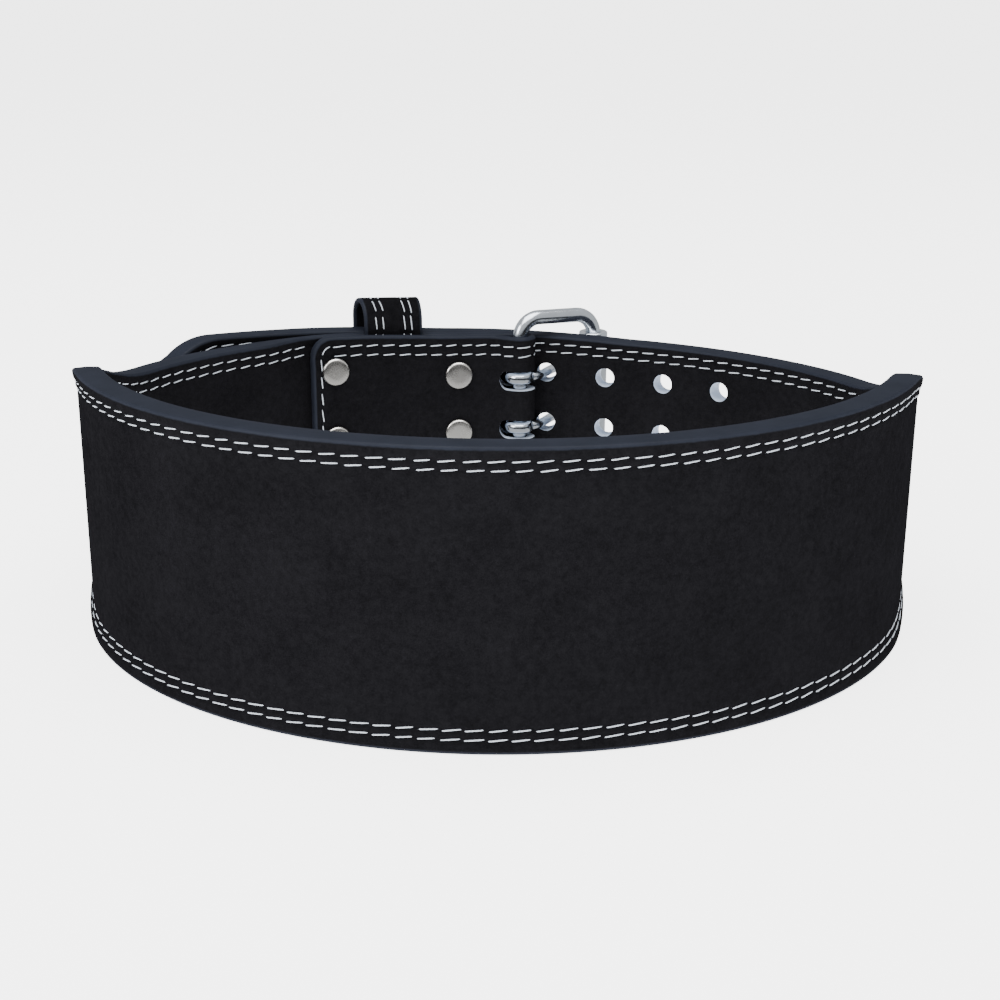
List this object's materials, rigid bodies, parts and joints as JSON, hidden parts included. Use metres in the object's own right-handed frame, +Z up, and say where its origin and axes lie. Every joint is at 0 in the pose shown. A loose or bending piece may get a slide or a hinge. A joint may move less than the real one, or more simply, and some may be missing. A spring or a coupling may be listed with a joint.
{
  "type": "weightlifting belt",
  "caption": "Thick suede leather lifting belt, wide at the back and tapered to the front, closed by a double prong roller buckle with a keeper loop.",
  "frame": {"origin": "on the surface the belt stands on, under the middle of its whole box", "axes": "+Z up, +X across the waist towards the tongue side of the back, +Y from the wide back towards the buckle"},
  "size_m": [0.3146, 0.2724, 0.1],
  "materials": {
    "suede": "black suede, fine nap",
    "edge_paint": "painted cut edge, satin blue grey",
    "cut_leather": "pale cut leather inside the holes",
    "keeper_leather": "black suede, fine nap",
    "thread": "off-white waxed thread",
    "chrome": "polished",
    "nickel": "satin nickel"
  },
  "bodies": {
    "root": {"belt_strap": "suede", "keeper_loop": "keeper_leather", "buckle_frame": "chrome", "buckle_roller": "chrome", "prong_upper": "chrome", "prong_lower": "chrome", "rivet_left_upper": "nickel", "rivet_left_lower": "nickel", "rivet_right_upper": "nickel", "rivet_right_lower": "nickel"}
  },
  "joints": []
}
